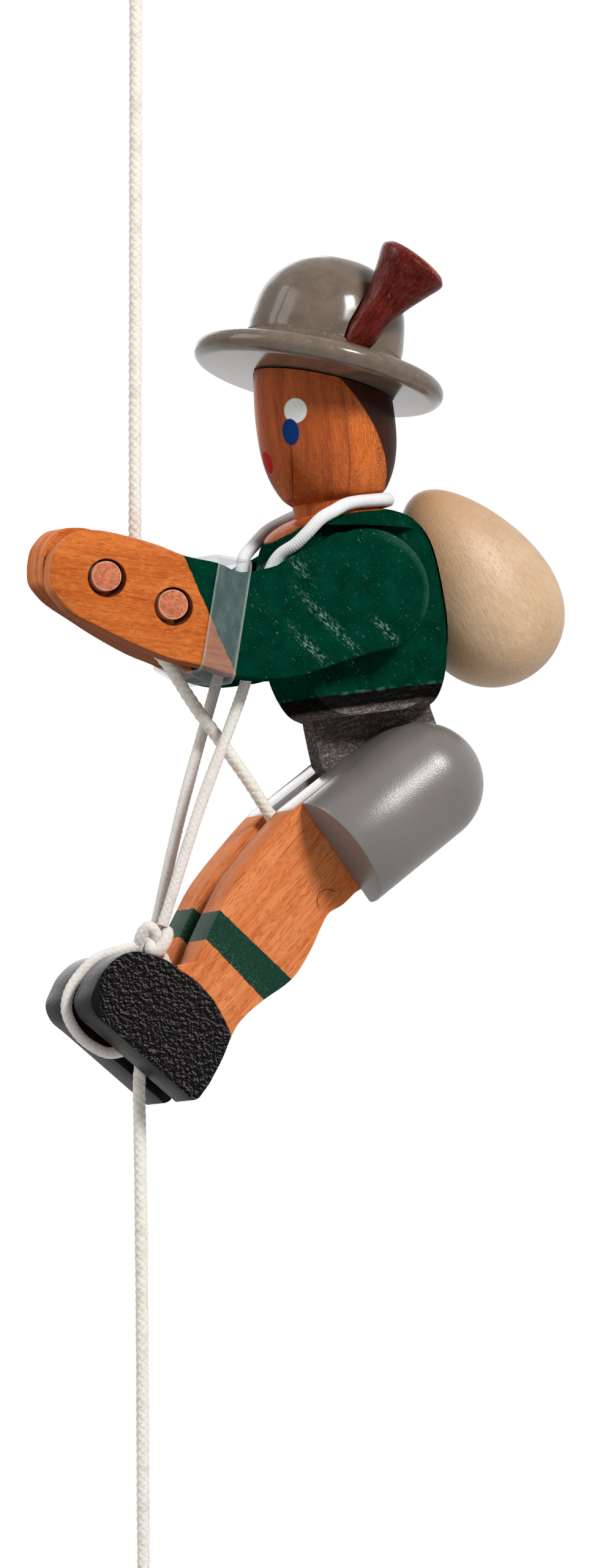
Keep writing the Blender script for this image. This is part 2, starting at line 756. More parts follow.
def hatFrame():
    lean = math.radians(leanSet["hat"])
    return frameAt(*fromGrip((32.15, 0, 34.75)), Vector((math.sin(lean), 0, math.cos(lean))))


def bodyProfile(extra=0.0):
    line = mmPoints(*brokenCurve(bodySet["profile"], bodySet["corners"], 5))
    return [Vector((0, line[0].y)), *[Vector((p.x + extra, p.y)) for p in line], Vector((0, line[-1].y))]


def makeBody():
    body = turn("turnedBody", bodyProfile(), bodyFrame(), 128)
    half = bodySet["tongue"] * mm
    tongueLine = [(-16.7, 13.5), (-15.9, 9.9), (-15.1, 6.3), (-14.3, 3.1)]
    tongueLine += arcPoints((0, 0), bodySet["tongueRound"], 207, 377, 40)
    tongueLine += [(7.2, 8.2), (6.5, 10.2), (5.3, 13.2), (4.9, 15.2)]
    carve(body, saw("tongue", mmPoints(*tongueLine), Matrix.Translation(hip), -half, half), "UNION")
    top = bodySet["flatTop"]
    for side in (near, far):
        outline = mmPoints((-28, -30), (28, -30), (28, top), (-28, top))
        carve(body, saw("flat", outline, armFrame(side), -bodySet["flatGap"] * mm, 30 * mm))
    above = mmPoints((0, -0.3), (26, -0.3), (26, 30), (0, 30))
    carve(body, turn("headTop", above, hatFrame(), 24))
    softShade(body, 30)
    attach(body, "torso")
    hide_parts("turned_body")
    return body


body = makeBody()
print("stage: the turned body")


def paintBody():
    finish = Finish("bodyPaint", Specular_IOR_Level=0.0, Coat_Roughness=0.22)
    local, world = finish.inFrame(bodyFrame()), finish.inFrame()
    x, y, z = finish.split(local)
    wood, fibres, pores = finish.grain(local, bodySet["wood"])
    wobble = finish.noise(world, 0.7, 3, 0.6)
    sunny = finish.node("ShaderNodeMath", {"operation": "MULTIPLY_ADD"}, [x, 0.09, 0.75]).clamped()
    wood = finish.mix(finish.mix(wood, (128, 62, 36), 0.35), wood, sunny)
    # a dark growth ring down the cheek
    ring = (x * 0.963 - y * 0.272 + wobble * 0.35 + 7.45).size().under(0.09, 0.14)
    ring = ring * z.under(27.0, 1.5) * z.over(17.0, 0.5)
    flecks = finish.noise(local, 2.6, 2, 0.65).over(0.56, 0.1) * x.over(0.0, 9.0)
    # the back of the head, dipped dark brown along a bowed line
    down = 33.5 - z
    hair = (x - down * 0.68 + down * down * 0.0165 + wobble * 0.5).over(0.25, 0.2)
    hair = hair * z.over(bodySet["nape"], 0.3)
    brown = finish.mix((38, 16, 9), (64, 27, 13), fibres.over(0.5, 0.4))
    edge = bodySet["spotEdge"]
    white, blue = (anyOf(finish.dot(local, (front, side * off, up), size, edge) for side in (near, far))
                   for (front, off, up), size in (bodySet["white"], bodySet["blue"]))
    red = finish.dot(local, *bodySet["red"], edge)
    spots = anyOf([white, blue, red])
    # the jacket, open at the throat
    throat = (x * -1.0).over(10.0, 6.0)
    jacket = (z + throat * 3.0 + wobble * 0.6).under(bodySet["collar"], 0.25)
    green, glints = greenPaint(finish, world)
    # below the hem: rough dark grey, scored by the saw, and darker on the tongue
    trunks = (z + wobble * 0.7).under(bodySet["hem"], 0.25)
    scored = finish.noise(finish.leaning(world, 14), 1.0, 3, 0.65, (0.3, 1, 2.6))
    rough = finish.noise(world, 3.2, 3, 0.75)
    grit = (rough * 0.6 + scored * 0.5).over(0.62, 0.16)
    grey = finish.mix(finish.mix((14, 12, 12), (38, 34, 32), grit),
                      finish.mix((82, 75, 72), (160, 152, 146), grit), z.under(bodySet["step"], 0.9))
    rim = (z + wobble * 0.7).under(bodySet["hem"] + 0.5, 0.15) - trunks
    colour = finish.cover(
        wood, ((84, 34, 18), ring * 0.6), ((236, 148, 78), flecks * 0.4), (brown, hair),
        ((226, 228, 222), white), ((14, 50, 112), blue), ((170, 20, 22), red), (green, jacket),
        ((74, 104, 92), rim.clamped() * wobble.over(0.55, 0.1) * 0.5), (grey, trunks))
    painted = (jacket + spots + hair * 0.55).clamped()
    skin = (1 - jacket) * (1 - trunks) * (1 - spots)
    coat = (skin * 0.2 + spots * 0.1 + glints.over(0.62, 0.2) * jacket * 0.25).clamped()
    peel = finish.noise(world, 2.8, 2, 0.6)
    relief = finish.bump((fibres * 0.5 - pores * 0.6 - ring) * (1 - jacket) + peel * 0.7, 0.8, 0.16)
    relief = finish.bump(spots + jacket * 0.3, 0.7, 0.12, relief)
    relief = finish.bump(glints * jacket + (rough + scored) * trunks * 1.6, 0.7, 0.2, relief)
    finish.surface(Base_Color=colour, Roughness=0.5 - painted * 0.3 + trunks * 0.28, Coat_Weight=coat,
                   Normal=relief)
    return finish


# scuffed streaks in the paint: across and along the slant, and half their length
streakSet = ((16.1, -24.1, 7.6), (11.1, -24.6, 4.8), (21.9, -31.4, 3.0), (19.0, -14.7, 2.8))


def greenPaint(finish, place):
    # gloss paint over sawn wood: the grain shows as pale scuffs that run slanting
    slanted = finish.leaning(place, 45)
    streaks = anyOf(finish.dot(slanted, (across, 0, along), (1.0, 90, half), 0.9)
                    for across, along, half in streakSet)
    scuffs = finish.noise(slanted, 1.0, 4, 0.78, (3.6, 3.6, 1.1))
    tracks = finish.noise(slanted, 1.0, 2, 0.5, (0.42, 0.42, 0.085))
    marks = finish.noise(slanted, 1.0, 2, 0.6, (2.4, 2.4, 0.8)).over(0.7, 0.04)
    scuffed = (scuffs + streaks * 0.07).over(0.61, 0.05)
    scuffed = scuffed * (tracks.over(0.66, 0.06) * 0.4 + streaks).clamped()
    dust = finish.noise(place, 4.6, 1, 0.5).over(0.73, 0.03)
    green = finish.cover((0, 42, 28), ((2, 56, 40), finish.noise(place, 0.3, 2, 0.5).over(0.5, 0.4)),
                         ((122, 164, 148), (scuffed * 0.6 + marks * 0.22 + dust * 0.25).clamped()))
    return green, scuffs * 0.5 + scuffed * 0.8 + marks * 0.5


paintBody().wear(body, "green_gloss_paint")


# hat and tuft

hatSet = {"brim": 20.9, "thick": 3.8, "foot": 5.6, "crown": 12.95, "height": 21.3}


def hatProfile():
    brim, thick, foot, crown, top = (hatSet[key] for key in ("brim", "thick", "foot", "crown", "height"))
    edge = arcPoints((brim - thick / 2, thick / 2), thick / 2, -90, 80, 14)
    slope = smoothCurve([edge[-1], (crown + 3.4, foot - 1.15), (crown + 0.65, foot - 0.3)], 3)[1:]
    bead = [(crown + 0.42, foot + 0.12), (crown + 0.15, foot + 0.3), (crown, foot + 0.6)]
    dome = smoothCurve([(crown, foot + 1.0), (crown - 0.1, foot + 3.5), (crown - 1.0, top - 7.4),
                        (crown - 3.2, top - 3.8), (crown - 7.0, top - 1.1), (0, top)], 6)
    return mmPoints((0, 0), *edge, *slope, *bead, *dome)


def makeHat():
    hat = turn("hat", hatProfile(), hatFrame(), 128)
    carve(hat, turn("socket", tuftProfile(0.3), tuftFrame(), 48))
    softShade(hat, 40)
    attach(hat, "torso")
    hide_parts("hat")
    finish = Finish("hatPaint", Specular_IOR_Level=0.05, Coat_Roughness=0.13)
    local = finish.inFrame(hatFrame())
    x, y, z = finish.split(local)
    radius = x.reach(y)
    rings = finish.noise(finish.node("ShaderNodeCombineXYZ", {}, [radius, z, 0.0]), 2.2, 3, 0.6)
    cloud = finish.noise(local, 0.3, 3, 0.6)
    fine = finish.noise(local, 4.2, 3, 0.75)
    # dried drops along the crown's foot, rubbed places on the brim and a few scratches
    corner = radius.over(12.6, 0.4) * radius.under(14.0, 0.5) * z.over(5.3, 0.3) * z.under(6.5, 0.4)
    beads = corner * fine.over(0.5, 0.14)
    rubbed = radius.over(15.0, 1.5) * finish.noise(local, 0.8, 4, 0.7).over(0.6, 0.1) * z.over(1.8, 1.5)
    scratched = finish.noise(finish.leaning(local, 30), 1.0, 2, 0.6, (3.0, 3.0, 0.35)).over(0.72, 0.03)
    specks = finish.noise(local, 3.4, 1, 0.5).over(0.76, 0.02)
    under = z.under(0.9, 0.5)
    lines = finish.bump(rings + finish.noise(local, 1.1, 2, 0.5) * 0.6, 0.35, 0.12)
    finish.surface(
        Base_Color=finish.cover(
            (94, 81, 69), ((114, 99, 86), cloud.over(0.5, 0.4)), ((140, 128, 112), beads * 0.7),
            ((146, 134, 118), rubbed * 0.4),
            ((196, 184, 166), (specks * 0.6 + scratched * 0.3).clamped())),
        Roughness=(0.2 + corner * 0.4 + cloud * 0.1 + rubbed * 0.1 - under * 0.12).clamped(),
        Coat_Weight=(under * 0.6 + 0.4 - corner * 0.35).clamped(),
        Normal=finish.bump(beads * 2.2 + specks + rubbed * 0.3, 0.6, 0.18, lines))
    finish.wear(hat, "hat_gloss_paint")


tuftSet = {"length": 15.7, "foot": 2.6, "end": 5.95, "root": 3.6}


def tuftFrame():
    return frameAt(*fromGrip((34.75, -12.5, 41.95)), Vector((0.55, -0.24, 0.80)))


def tuftProfile(extra=0.0):
    length, foot, end, root = (tuftSet[key] for key in ("length", "foot", "end", "root"))
    flare = end - foot
    side = smoothCurve([(foot, 0), (foot + 0.06 * flare, 0.2 * length),
                        (foot + 0.3 * flare, 0.45 * length), (foot + 0.72 * flare, 0.7 * length),
                        (end, 0.86 * length), (end - 0.35, 0.92 * length),
                        (end * 0.72, 0.965 * length), (0, length)], 5)
    line = [Vector((0, -root)), Vector((foot - 0.8, -root)), *side]
    return mmPoints(*((p.x + extra if p.x else 0, p.y - extra if p.y < 0 else p.y) for p in line))


def makeTuft():
    tuft = turn("hatTuft", tuftProfile(), tuftFrame(), 96)
    softShade(tuft, 60)
    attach(tuft, "torso")
    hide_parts("hat_tuft")
    finish = Finish("oxbloodStain", Specular_IOR_Level=0.04, Coat_Roughness=0.22)
    local = finish.inFrame(tuftFrame())
    z = finish.split(local)[2]
    streaks = finish.noise(local, 1.9, 4, 0.72, (1, 1, 0.12))
    cloud = finish.noise(local, 0.4, 2, 0.5)
    torn = finish.noise(local, 1.6, 3, 0.7)
    # worn bare in one place on the side and along the rim
    worn = finish.dot(local, (1.2, -3.6, 15.2), (3.2, 1.5, 0.9), 0.5) * torn.over(0.44, 0.12)
    worn = worn.most(z.over(14.2, 0.8) * torn.over(0.63, 0.06))
    specks = finish.noise(local, 3.0, 1, 0.5).over(0.74, 0.02)
    stained = (streaks * 0.6 + cloud * 0.5).over(0.58, 0.4)
    finish.surface(
        Base_Color=finish.cover((62, 13, 8), ((110, 31, 19), stained), ((204, 124, 96), worn * 0.8),
                                ((184, 130, 108), specks * 0.5)),
        Coat_Weight=streaks.over(0.52, 0.2) * 0.3 * (1 - worn),
        Roughness=0.3 + worn * 0.3 + streaks * 0.1,
        Normal=finish.bump(streaks + specks, 0.55, 0.14))
    finish.wear(tuft, "oxblood_stain")


makeHat()
makeTuft()
print("stage: hat and tuft")


# backpack

packSet = {"length": 35.7, "width": 23.8, "tilt": 54.9, "fullness": 0.26, "seatGap": 0.3}


def packFrame():
    tilt = math.radians(packSet["tilt"])
    return frameAt(*fromGrip((60.6, 0, 2.9)), Vector((math.cos(tilt), 0, -math.sin(tilt))))


def makePack():
    steps, profile = 48, []
    for k in range(steps + 1):
        a = math.pi * k / steps
        along = -math.cos(a)
        width = packSet["width"] / 2 * math.sin(a) * (1 + packSet["fullness"] * along)
        profile.append((width if 0 < k < steps else 0, packSet["length"] / 2 * along))
    pack = turn("backpack", mmPoints(*profile), packFrame(), 128)
    carve(pack, turn("packSeat", bodyProfile(packSet["seatGap"] * mm), bodyFrame(), 128))
    softShade(pack, 40)
    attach(pack, "torso")
    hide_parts("backpack")
    finish = Finish("pearlLacquer", Specular_IOR_Level=0.6)
    local = finish.inFrame(packFrame())
    z = finish.split(local)[2]
    cloud = finish.noise(local, 0.1, 3, 0.55)
    flakes = finish.noise(local, 2.2, 3, 0.7, (1, 1, 0.2))
    dashes = finish.noise(local, 4.5, 1, 0.5, (1, 1, 0.22)).over(0.64, 0.06)
    pearl = finish.mix((184, 147, 113), (212, 180, 143), (cloud * 0.5 + flakes * 0.6).over(0.55, 0.35))
    finish.surface(
        Base_Color=finish.cover((190, 146, 104), (pearl, (z + cloud * 6.0).over(-8.0, 14.0)),
                                ((128, 92, 66), dashes * (0.06 + z.under(-2.0, 14.0) * 0.16))),
        Roughness=0.4 + flakes * 0.14,
        Normal=finish.bump(flakes - dashes * 0.4, 0.5, 0.14))
    finish.wear(pack, "pearl_lacquer")


makePack()
print("stage: backpack")


# arms

armSet = {
    "thick": 5.0, "reach": leanSet["armTip"], "round": 10.25, "edge": 0.8,
    "farTurn": -1.5, "farTrim": 1.1,
    "over": [(-5.4, 9.4), (-9.1, 7.1), (-12.1, 5.8), (-15.0, 3.9), (-21.1, 2.6), (-25.0, 4.0), (-30.4, 5.0),
             (-34.8, 6.6), (-39.7, 7.9), (-44.4, 8.8), (-47.2, 8.7), (-49.1, 8.3), (-50.8, 7.1), (-52.4, 4.9),
             (-52.9, 2.3)],
    "below": [(-52.7, -0.4), (-51.2, -2.6), (-49.0, -4.8), (-44.7, -6.9), (-39.9, -9.1), (-33.4, -11.6),
              (-28.0, -12.7), (-22.0, -14.3), (-16.4, -14.7), (-10.8, -13.9), (-7.3, -12.7), (-2.5, -11.0),
              (2.8, -9.4)],
    "holes": {"front": (-7.75, 0.6), "rear": (3.1, -3.75)}, "hole": 3.1, "dowel": 2.45, "dowelLift": 0.33,
    "wood": {"slow": 0.22, "rings": 1.3, "fibres": 3.4, "pores": 5.0,
             "poreEdge": 0.665, "poreLength": 0.13,
             "dark": (176, 84, 32), "light": (216, 120, 58), "contrast": 0.3, "streak": (162, 72, 28),
             "ringEdge": 0.58, "ringShare": 0.5, "pore": (138, 60, 26), "poreShare": 0.22},
    "grainLean": 84, "sleeveLean": 0.449, "sleeve": 7.0,
}


def armOutline(turned, trim):
    # the right hand is turned up a little and is slimmer along its lower edge
    top = smoothCurve(armSet["over"], 3)
    below = [top[-1]]
    for back, up in armSet["below"]:
        hand = min(1, max(0, (-back - 19) / 12.7)) * min(1, (armSet["reach"] + back) / 4.2)
        below.append((back, up + trim * hand))
    spin = Matrix.Rotation(math.radians(turned), 2)
    hand = [spin @ p for p in top + smoothCurve(below, 3)[1:]]
    return mmPoints(*hand, *arcPoints((0, 0), armSet["round"], -66, 112, 36))


def armFace(side, back, depth):
    # how far off the middle plane a board's surface lies, at a place along X
    lean = math.radians(leanSet["arm"])
    inner = leanSet["armInner"] * mm + leanSet["armTip"] * mm * math.sin(lean)
    along = (back - shoulder.x + depth * math.sin(lean)) / math.cos(lean)
    return side * (inner + along * math.sin(lean) + depth * math.cos(lean))


def paintArm(name, side):
    finish = Finish(name, Specular_IOR_Level=0.0, Coat_Roughness=0.2)
    world = finish.inFrame()
    x, _, z = finish.split(world)
    board = finish.inFrame(Matrix.Translation(grip) @ armFrame(side).to_quaternion().to_matrix().to_4x4())
    alongArm = finish.leaning(board, armSet["grainLean"])
    wood, fibres, pores = finish.grain(alongArm, armSet["wood"])
    flecks = finish.noise(alongArm, 2.8, 2, 0.7, (1, 1, 0.3)).over(0.57, 0.08)
    # the sawn edge shows the board's layers, and is darker where it faces down
    layers = finish.noise(board, 1.0, 2, 0.6, (0.05, 1.6, 0.05)).over(0.5, 0.2)
    normal = finish.node("ShaderNodeNewGeometry", {}, {}, "Normal")
    edge = finish.vector("DOT_PRODUCT", normal, armLean(side)[1], output="Value").size().under(0.6, 0.3)
    downward = finish.split(normal)[2].under(-0.55, 0.4) * edge
    wobble = finish.noise(world, 0.8, 3, 0.6)
    sleeve = (x + z * armSet["sleeveLean"] + wobble * 0.5).over(armSet["sleeve"], 0.14)
    green, glints = greenPaint(finish, world)
    # the turned rim of the shoulder, brushed pale at its upper back
    backward, upward = x - shoulderAt[0], z - shoulderAt[2]
    brushed = backward.reach(upward).over(8.6, 1.0) * (backward + upward * 0.5).over(6.5, 3.0)
    green = finish.mix(green, (96, 142, 126), brushed * glints.over(0.3, 0.4) * 0.4)
    sawn = finish.mix((200, 112, 66), (226, 148, 104), layers)
    colour = finish.cover(
        wood, ((228, 140, 76), flecks * 0.35), (sawn, edge * 0.7), ((104, 56, 34), downward * 0.75),
        ((48, 18, 9), rimOfHoles(x, z) * 0.92), (green, sleeve))
    relief = finish.bump((fibres * 0.6 - pores * 0.6) * (1 - sleeve), 0.7, 0.14)
    finish.surface(Base_Color=colour, Roughness=0.55 - sleeve * 0.35,
                   Coat_Weight=glints.over(0.62, 0.2) * sleeve * 0.25 + (1 - sleeve) * 0.06,
                   Normal=finish.bump(glints * sleeve + sleeve * 0.4, 0.7, 0.16, relief))
    return finish


def rimOfHoles(x, z):
    return anyOf((x - across).reach(z - up).under(armSet["hole"] + 0.05, 0.2)
                 for across, up in armSet["holes"].values())


def makeArm(name, node, side, turned, trim):
    arm = saw(name, armOutline(turned, trim), armFrame(side), 0, armSet["thick"] * mm, armSet["edge"] * mm)
    for across, up in armSet["holes"].values():
        through = sorted((0, side * 25 * mm))
        carve(arm, rodAcross("hole", *fromGrip((across, 0, up)), armSet["hole"] * mm, *through))
    softShade(arm, 32)
    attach(arm, "arms")
    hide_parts(node)
    paintArm(name + "Finish", side).wear(arm, "green_gloss_paint")


def makeDowel(name, node, hole):
    across, up = hole[0], hole[1] + armSet["dowelLift"]    # the cord pulls them up in their wide holes
    dowel = rodAcross(name, *fromGrip((across, 0, up)), armSet["dowel"] * mm, -20 * mm, 20 * mm)
    for corner in dowel.data.vertices:
        side = near if corner.co.y < 0 else far
        corner.co.y = armFace(side, corner.co.x, (armSet["thick"] - 0.15) * mm)
    roundEdges(dowel, 0.18)
    softShade(dowel, 35)
    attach(dowel, "arms")
    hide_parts(node)
    finish = Finish(name + "Finish", Specular_IOR_Level=0.3)
    world = finish.inFrame()
    x, y, z = finish.split(world)
    reach = (x - across).reach(z - up)
    sawn = finish.noise(world, 3.6, 4, 0.75, (1, 0.2, 1))
    blotch = finish.noise(world, 1.1, 2, 0.5)
    # the end is pale along its ragged rim, and the part between the boards lies in shadow
    pale = (sawn * 0.7 + blotch * 0.4).over(0.55, 0.2)
    finish.surface(
        Base_Color=finish.cover((176, 94, 60), ((226, 138, 100), pale),
                                ((238, 168, 140), (reach + blotch * 0.4).over(2.42, 0.12) * 0.7),
                                ((70, 24, 12), y.size().under(5.2, 1.0) * 0.6)),
        Roughness=0.7 + blotch * 0.1,
        Normal=finish.bump(sawn, 0.9, 0.2))
    finish.wear(dowel, "waxed_beech")


makeArm("armLeft", "arm_left", near, 0.0, 0.0)
makeArm("armRight", "arm_right", far, armSet["farTurn"], armSet["farTrim"])
makeDowel("dowelFront", "hand_dowel_front", armSet["holes"]["front"])
makeDowel("dowelRear", "hand_dowel_rear", armSet["holes"]["rear"])
print("stage: arms and hand dowels")


# legs

legSet = {
    "inner": 2.25, "thick": 7.5, "thigh": 9.9, "slope": 37.7, "edge": 0.8,
    "shin": [(-22.3, -4.4), (-26.1, -8.4), (-32.3, -15.7), (-35.3, -20.8), (-38.0, -26.1), (-39.6, -30.0)],
    "vamp": [(-43.1, -30.7), (-46.2, -29.4), (-50.2, -28.5), (-53.3, -29.4), (-55.9, -31.6), (-57.3, -34.0),
             (-58.2, -36.5), (-57.2, -39.0), (-54.8, -40.9)],
    "heel": [(-40.9, -51.8), (-40.3, -52.3), (-39.3, -51.9)],
    "back": [(-37.5, -49.6), (-35.2, -45.5), (-33.2, -41.0), (-31.0, -38.3), (-27.9, -35.8), (-23.0, -32.4),
             (-20.0, -28.2), (-17.6, -23.4), (-16.3, -21.4), (-14.0, -20.1), (-11.7, -18.0)],
    "wood": {"slow": 0.3, "rings": 0.9, "fibres": 3.4, "pores": 5.2, "poreEdge": 0.64, "poreLength": 0.11,
             "dark": (202, 113, 62), "light": (226, 142, 90), "contrast": 0.3, "streak": (198, 102, 50),
             "ringEdge": 0.56, "ringShare": 0.6, "pore": (140, 66, 34), "poreShare": 0.38},
    "grainLean": -42, "outerFace": 9.55,
    "knot": (30.0, -50.8, 2.0),             # a plugged hole near the back edge: middle and radius
    "shoeArc": (-4.8, -79.0, 18.85),        # the shoe's paint ends on a wide arc: middle and radius
    "bandTop": -32.7, "bandFoot": -37.8, "trouserEnd": 21.2,
}


def legOutline():
    slope = legSet["slope"]
    line = arcPoints((0, 0), legSet["thigh"], slope - 90, slope + 90, 40)
    line += smoothCurve(legSet["shin"], 4) + smoothCurve(legSet["vamp"], 4)
    return mmPoints(*line, *legSet["heel"], *smoothCurve(legSet["back"], 4))


def paintLeg(name, side):
    finish = Finish(name, Specular_IOR_Level=0.04, Coat_Roughness=0.24)
    world = finish.inFrame()
    x, y, z = finish.split(world)
    alongLeg = finish.leaning(world, legSet["grainLean"])
    wood, fibres, pores = finish.grain(alongLeg, legSet["wood"])
    outer = y.size().over(legSet["outerFace"], 0.1)
    wobble = finish.noise(world, 0.9, 3, 0.6)
    knotX, knotZ = x - legSet["knot"][0], z - legSet["knot"][1]
    knot = (knotX.reach(knotZ) - legSet["knot"][2]).size().under(0.1, 0.12)
    knot = knot * outer * (knotZ - knotX).over(0.4, 1.0)
    # the stocking band runs square across the calf, and its lower edge drops a little towards the heel
    across = x * 0.651 + z * 0.759 - (1.2 if side > 0 else 0) + wobble * 0.5
    lowered = across + (x - 8.0) * 0.06
    band = across.under(legSet["bandTop"], 0.14) * lowered.over(legSet["bandFoot"], 0.14)
    dusty = finish.noise(alongLeg, 3.4, 3, 0.75)
    worn = dusty.over(0.6, 0.08) * (0.35 + lowered.under(-36.4, 1.6) * 0.65)
    felt = finish.cover((12, 44, 32), ((26, 66, 50), finish.noise(world, 2.4, 3, 0.7)),
                        ((118, 140, 128), worn * 0.55))
    # pebbled paint on the shoe's sides: each bump is pale where it faces up and back
    rough = finish.noise(world, 1.35, 3, 0.62)
    shifted = finish.vector("ADD", world, (0.1, 0.0, 0.15))
    pebbles = (rough - finish.noise(shifted, 1.35, 3, 0.62)).over(0.06, 0.07)
    arcX, arcZ, radius = legSet["shoeArc"]
    shoe = ((x - arcX).reach(z - arcZ) + wobble * 0.5).under(radius, 0.16)
    shoe = shoe.most(x.under(3.4, 0.3) * z.under(-57.0, 0.3))
    # a smooth rim runs round toe and sole
    soleward = x * -0.609 - z * 0.793
    toe = (x + 10.4).math("MINIMUM", 62.9 - soleward)
    sides = outer * (toe + wobble * 0.8).over(0.8, 0.7)
    black = finish.cover((16, 14, 14), ((15, 13, 13), outer), ((112, 108, 106), pebbles * sides * 0.75))
    slope = math.radians(legSet["slope"])
    down = (x - hipAt[0]) * -math.cos(slope) + (z - hipAt[2]) * -math.sin(slope)
    trouser = (down + wobble * 0.6 + outer * 2.2).under(legSet["trouserEnd"], 0.3)
    brushed = finish.noise(finish.leaning(world, 52), 1.0, 3, 0.7, (3.2, 0.5, 0.2))
    relief = finish.bump(fibres * 0.5 - pores * 0.9 - knot, 0.7, 0.16)
    thickPaint = (brushed * 0.5 * (1 - outer) + rough * sides * 4.0 + 0.4) * shoe
    relief = finish.bump(thickPaint, 1.0, 0.34, relief)
    finish.surface(
        Base_Color=finish.cover(wood, ((120, 50, 26), knot * 0.7), (felt, band), (black, shoe),
                                ((112, 107, 103), trouser)),
        Coat_Weight=(trouser * 0.5 + shoe * (1 - sides) * 0.07).clamped(),
        Roughness=0.58 - (trouser * 0.32 + shoe * 0.26) - band * 0.1,
        Normal=finish.bump(dusty * band + band * 0.5, 0.7, 0.16, relief))
    return finish


def makeLeg(name, node, side):
    low, high = sorted(side * off * mm for off in (legSet["inner"], legSet["inner"] + legSet["thick"]))
    leg = saw(name, legOutline(), Matrix.Translation(hip), low, high, legSet["edge"] * mm)
    softShade(leg, 32)
    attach(leg, "legs")
    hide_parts(node)
    paintLeg(name + "Finish", side).wear(leg, "waxed_beech")


trouserSet = {"radius": 10.05, "length": 19.3, "rim": 0.5, "off": 10.05}


def makeTrouser(name, node, side):
    radius, length, rim = (trouserSet[key] for key in ("radius", "length", "rim"))
    line = [(0, -radius), *arcPoints((0, 0), radius, -90, 0, 24)[1:], (radius, length * 0.5),
            (radius, length - rim), (radius - rim * 0.3, length - rim * 0.3), (radius - rim, length),
            (0, length)]
    slope = math.radians(legSet["slope"])
    middle = hip + Vector((0, side * trouserSet["off"] * mm, 0))
    place = frameAt(middle, Vector((-math.cos(slope), 0, -math.sin(slope))))
    trouser = turn(name, mmPoints(*line), place, 128)
    openMesh(trouser)
    bpy.ops.mesh.bisect(plane_co=middle, plane_no=(0, side, 0), use_fill=True, clear_inner=True)
    closeUp(trouser)
    softShade(trouser, 35)
    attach(trouser, "legs")
    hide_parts(node)
    finish = Finish(name + "Finish", Specular_IOR_Level=0.6)
    local = finish.inFrame(place)
    cloud = finish.noise(local, 0.16, 3, 0.55)
    orange = finish.noise(local, 3.6, 3, 0.65)         # the paint's orange peel
    specks = finish.noise(local, 2.4, 1, 0.5).over(0.77, 0.02)
    colour = finish.cover((100, 95, 92), ((116, 111, 107), cloud), ((66, 62, 60), specks * 0.6))
    finish.surface(Base_Color=colour, Roughness=0.25 + cloud * 0.08,
                   Normal=finish.bump(orange + specks, 0.4, 0.1))
    finish.wear(trouser, "grey_satin_paint")


makeLeg("legLeft", "leg_left", near)
makeLeg("legRight", "leg_right", far)
makeTrouser("trouserLeft", "trouser_left", near)
makeTrouser("trouserRight", "trouser_right", far)
print("stage: legs and trousers")


# wrist band

bandSet = {"back": 11.6, "lean": 1.5, "width": 5.4, "thick": 0.35, "corner": 1.6, "above": 1.05,
           "below": 0.6, "slack": 0.55, "overCord": -12.2}


def heightsAt(outline, back):
    heights = [a.y + (b.y - a.y) * (back - a.x) / (b.x - a.x)
               for a, b in zip(outline, outline[1:] + outline[:1]) if (a.x - back) * (b.x - back) < 0]
    return min(heights) / mm - 0.5, max(heights) / mm - 0.5


def bandLevels(edge):
    # how low and how high the band lies on each board, at its front or back edge
    slack = bandSet["slack"] if edge > 0 else 0
    back = bandSet["back"] + edge * bandSet["width"] / 2 - shoulderAt[0]
    levels = {}
    for side, turned, trim in ((near, 0, 0), (far, armSet["farTurn"], armSet["farTrim"])):
        outline = armOutline(turned, trim)
        low = heightsAt(outline, (back - bandSet["lean"]) * mm)[0]
        high = heightsAt(outline, (back + bandSet["lean"]) * mm)[1]
        levels[side] = (low - bandSet["below"] - slack, high + bandSet["above"] + slack)
    return levels


def bandPlace(edge, low, high, y, z):
    lean = bandSet["lean"] * (2 * z - low - high) / (high - low)
    return bandSet["back"] + edge * bandSet["width"] / 2 + lean, y, z


def bandLoop(edge, grown):
    levels, corner = bandLevels(edge), bandSet["corner"]
    middle = bandSet["overCord"] if edge < 0 else (levels[near][0] + levels[far][0]) / 2
    loop = []
    for side, up, start in ((far, 1, 0), (near, 1, 90), (near, -1, 180), (far, -1, 270)):
        low, high = levels[side]
        centre = high + grown - corner if up > 0 else low - grown + corner
        spots = []
        for k in range(9):
            a = math.radians(start + 90 * k / 8)
            z = centre + corner * math.sin(a)
            x = bandPlace(edge, low, high, 0, z)[0]
            wide = abs(armFace(far, x * mm, armSet["thick"] * mm)) / mm + 0.3 + grown - corner
            spots.append((x, side * wide + corner * math.cos(a), z))
        if up < 0:          # between the boards it dips or rises to the cord
            under = [bandPlace(edge, low, high, side * y, low - grown + (middle - low) * lift)
                     for y, lift in ((3.4, 0), (1.9, 0.42))]
            if side == near:
                spots += under + [bandPlace(edge, low, high, 0, middle - grown)]
            else:
                spots = under[::-1] + spots
        loop += [grip + Vector(spot) * mm for spot in spots]
    return loop


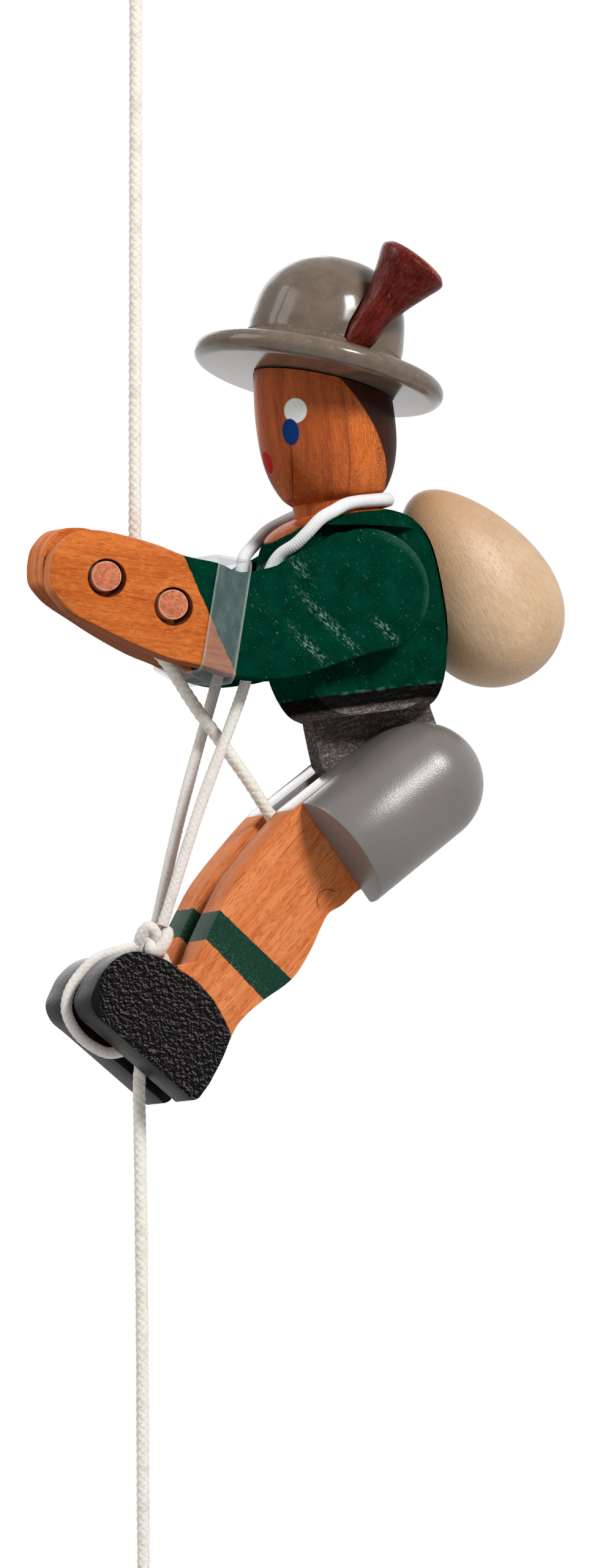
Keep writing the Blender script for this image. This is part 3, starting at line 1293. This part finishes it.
def makeBand():
    # four loops of points, inside and out, front and back, bridged into one ring
    loops = [bandLoop(edge, skin * bandSet["thick"]) for edge, skin in ((-1, 0), (1, 0), (1, 1), (-1, 1))]
    count = len(loops[0])
    faces = []
    for loop in range(4):
        a, b = loop * count, (loop + 1) % 4 * count
        faces += [(a + k, a + (k + 1) % count, b + (k + 1) % count, b + k) for k in range(count)]
    band = fromPoints("wristBand", [point for loop in loops for point in loop], faces)
    closeUp(band)
    roundEdges(band, 0.1)
    softShade(band, 40)
    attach(band, "arms")
    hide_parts("wrist_band")
    finish = Finish("clearBand", Specular_IOR_Level=0.3)
    world = finish.inFrame()
    x, _, z = finish.split(world)
    haze = finish.noise(world, 0.9, 3, 0.6, (1, 1, 0.4))
    dust = finish.noise(world, 2.6, 1, 0.5).over(0.74, 0.04)
    rim = (x - bandSet["back"] - (z + 5.0) * 0.16).size().over(bandSet["width"] / 2 - 0.18, 0.16)
    milky = (haze.over(0.6, 0.4) * 0.4 + rim * 0.6).clamped()
    finish.surface(Base_Color=finish.mix((128, 150, 152), (206, 210, 206), milky),
                   Alpha=(0.1 + haze * 0.12 + rim * 0.12 + dust * 0.2).clamped(),
                   Roughness=0.22 + haze * 0.2, Normal=finish.bump(haze + dust * 0.3, 0.2, 0.08))
    finish.wear(band, "clear_rubber")


makeBand()
print("stage: wrist band")


# pull bead, and the pins that stay hidden

beadSet = {"height": 12, "radius": 7, "hole": 3.15, "cut": 64}      # cut: where the flat ends begin
plainSet = {"slow": 0.3, "rings": 1.2, "fibres": 2.6, "pores": 3.2, "poreEdge": 0.66, "poreLength": 0.15,
            "dark": (196, 104, 56), "light": (222, 134, 82), "contrast": 0.35, "streak": (172, 86, 46),
            "ringEdge": 0.6, "ringShare": 0.5, "pore": (128, 58, 30), "poreShare": 0.6}


def makeBead():
    height, radius, hole, cut = (beadSet[key] for key in ("height", "radius", "hole", "cut"))
    half = height / 2
    turns = [math.radians(angle) for angle in range(-cut, cut + 1, 4)]
    tall = half / math.sin(math.radians(cut))
    side = [(radius * math.cos(a), half + tall * math.sin(a)) for a in turns]
    line = mmPoints((0, 0), (hole, 0), *side[1:-1], (hole, height), (0, height))
    bead = turn("pullBead", line, Matrix.Translation(beadTop - Vector((0, 0, height * mm))), 96)
    softShade(bead, 50)
    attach(bead, "cord")
    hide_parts("pull_bead")
    plainWood("beadWood").wear(bead, "waxed_beech")
    return bead


def plainWood(name):
    finish = Finish(name, Specular_IOR_Level=0.5)
    wood, fibres, pores = finish.grain(finish.inFrame(), plainSet)
    finish.surface(Base_Color=wood, Roughness=0.42 + fibres * 0.1,
                   Normal=finish.bump(fibres * 0.5 - pores * 0.7, 0.5, 0.12))
    return finish


bead = makeBead()
pinWood = plainWood("pinWood")
for node in ("shoulder_axle", "hip_axle", "knee_pin", "foot_pin", "backpack_peg"):
    pinWood.wear(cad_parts[node])
declareCord("lower")
print("stage: bead and pins")
